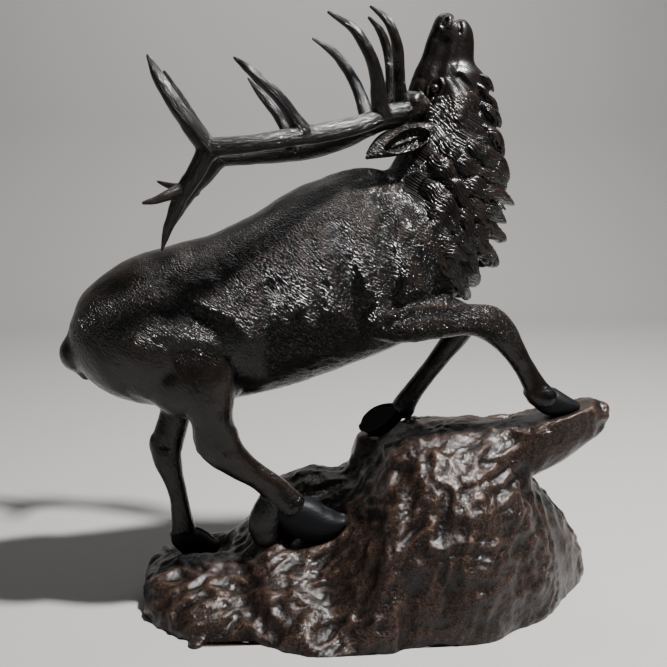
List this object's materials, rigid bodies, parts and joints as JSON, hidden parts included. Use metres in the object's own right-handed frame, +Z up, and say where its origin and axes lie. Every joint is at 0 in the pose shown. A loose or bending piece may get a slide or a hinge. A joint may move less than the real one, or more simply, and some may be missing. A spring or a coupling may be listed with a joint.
{
  "type": "elk statue",
  "caption": "Cast aluminium statue of a bugling bull elk striding up a rocky outcrop, with a flat underside and a small anchor tab at its foot.",
  "frame": {"origin": "on the flat underside of the rock, in the middle of its footprint", "axes": "+Z up, +X the way the elk strides and climbs, -Y its right side, which faces the viewer"},
  "size_m": [1.797, 0.8652, 1.8992],
  "materials": {
    "elk_patina": "dark chocolate brown patina rubbed lighter on raised hair, under a glossy clear coat",
    "rock_patina": "mottled umber and near-black patina under a glossy clear coat"
  },
  "bodies": {
    "root": {"elk": "elk_patina", "rock_base": "rock_patina"}
  },
  "joints": []
}
